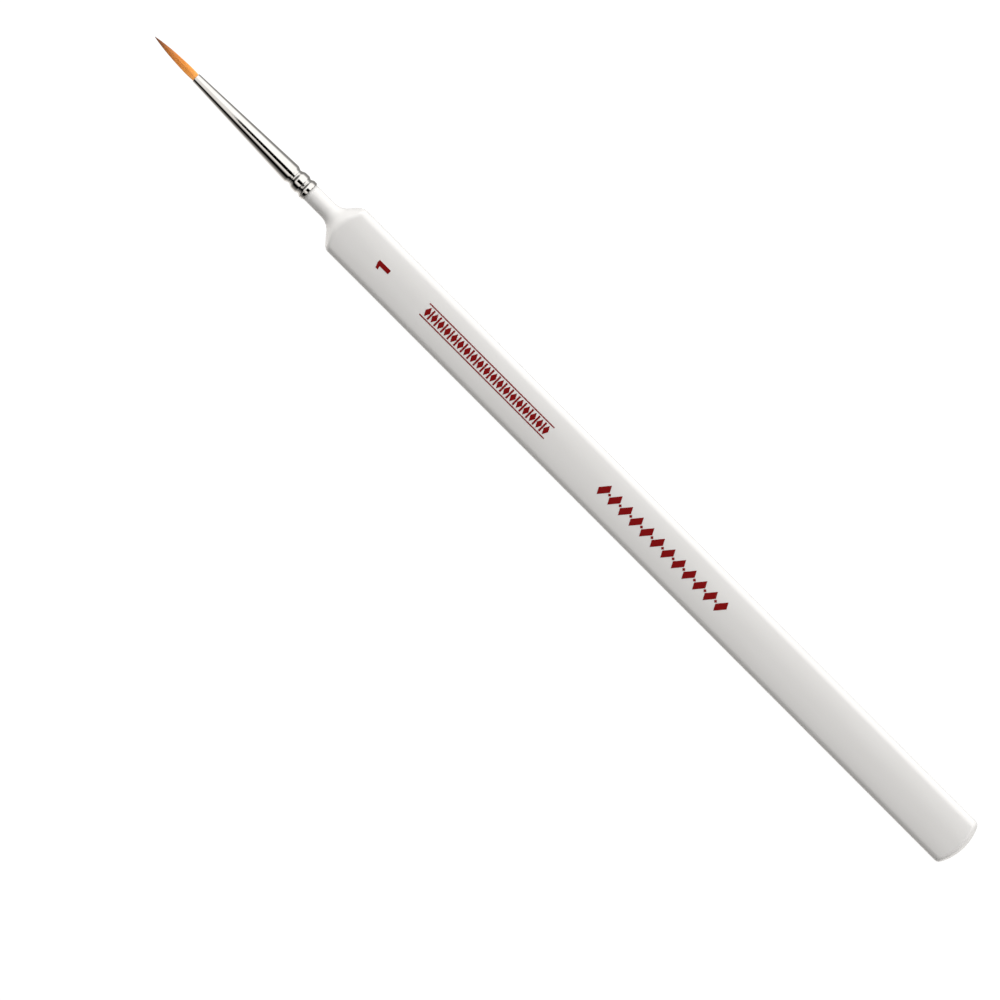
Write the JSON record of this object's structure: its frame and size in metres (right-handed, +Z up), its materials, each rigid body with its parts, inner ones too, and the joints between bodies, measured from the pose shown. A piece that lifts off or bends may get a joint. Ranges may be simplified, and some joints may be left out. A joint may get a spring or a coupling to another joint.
{
  "type": "fine detail brush",
  "caption": "Round pointed detail brush: golden-brown tuft in a crimped tapered ferrule on a white three-sided handle, with a tuft that flexes.",
  "frame": {"origin": "centre of the footprint, on the surface that the brush lies on", "axes": "+X from the tip of the tuft to the domed end of the handle, +Z up, the printed side faces -Y and up"},
  "size_m": [0.1834, 0.0092, 0.0086],
  "materials": {
    "bare_wood": "bare, fine grain",
    "white_lacquer": "gloss white lacquer",
    "red_ink": "printed dark red ink",
    "nickel_plate": "polished nickel plate",
    "wood_glue": "dried wood glue",
    "epoxy": "cured clear amber resin",
    "thread": "waxed cotton thread",
    "hair": "sleek golden-brown hair"
  },
  "bodies": {
    "root": {"handle_core": "bare_wood", "lacquer_coat": "white_lacquer", "size_numeral": "red_ink", "printed_band": "red_ink", "printed_row": "red_ink", "ferrule": "nickel_plate", "tenon_glue": "wood_glue", "root_adhesive": "epoxy", "binding_thread": "thread", "hair_root": "hair"},
    "heel": {"tuft_heel": "hair"},
    "belly": {"tuft_belly": "hair"},
    "taper": {"tuft_taper": "hair"},
    "point": {"tuft_point": "hair"}
  },
  "joints": [
    {"name": "heel_bend", "type": "hinge", "parent": "root", "child": "heel", "pos_m": [-0.0839, 0, 0.00355], "axis": [0, 1, 0], "range_deg": [-20, 20], "stiffness_Nm_per_rad": 0.0003},
    {"name": "belly_sway", "type": "hinge", "parent": "heel", "child": "belly", "pos_m": [-0.0857, 0, 0.00355], "axis": [0, 0, 1], "range_deg": [-20, 20], "stiffness_Nm_per_rad": 0.0003},
    {"name": "taper_bend", "type": "hinge", "parent": "belly", "child": "taper", "pos_m": [-0.0874, 0, 0.00355], "axis": [0, 1, 0], "range_deg": [-25, 25]},
    {"name": "point_sway", "type": "hinge", "parent": "taper", "child": "point", "pos_m": [-0.089, 0, 0.00355], "axis": [0, 0, 1], "range_deg": [-25, 25]}
  ],
  "couplings": [
    {"joint": "taper_bend", "follows": "heel_bend", "ratio": 1.25},
    {"joint": "point_sway", "follows": "belly_sway", "ratio": 1.25}
  ]
}
